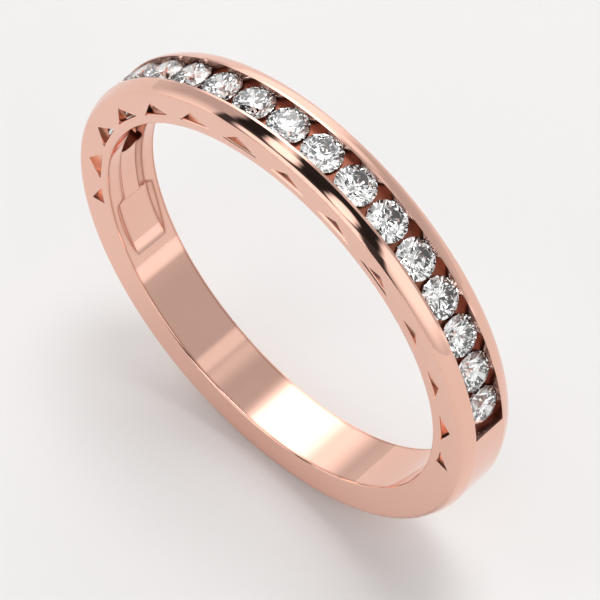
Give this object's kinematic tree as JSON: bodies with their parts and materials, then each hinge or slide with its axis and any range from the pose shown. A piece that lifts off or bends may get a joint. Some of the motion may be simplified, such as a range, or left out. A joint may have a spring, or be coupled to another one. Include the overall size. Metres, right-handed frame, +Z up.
{
  "type": "wedding band",
  "caption": "Polished rose-gold wedding band with round brilliants channel-set over its upper half, triangular windows along both sides and a slotted underside.",
  "frame": {"origin": "centre of the finger bore, midway between the two sides", "axes": "+Y along the bore axis, +Z up through the middle stone, +X along the row of stones"},
  "size_m": [0.0208, 0.0028, 0.0208],
  "materials": {
    "rose_gold": "mirror-polished rose gold",
    "diamond": "clear, polished facets"
  },
  "bodies": {
    "root": {"band": "rose_gold", "stone_01": "diamond", "stone_02": "diamond", "stone_03": "diamond", "stone_04": "diamond", "stone_05": "diamond", "stone_06": "diamond", "stone_07": "diamond", "stone_08": "diamond", "stone_09": "diamond", "stone_10": "diamond", "stone_11": "diamond", "stone_12": "diamond", "stone_13": "diamond", "stone_14": "diamond", "stone_15": "diamond", "stone_16": "diamond", "stone_17": "diamond"}
  },
  "joints": []
}
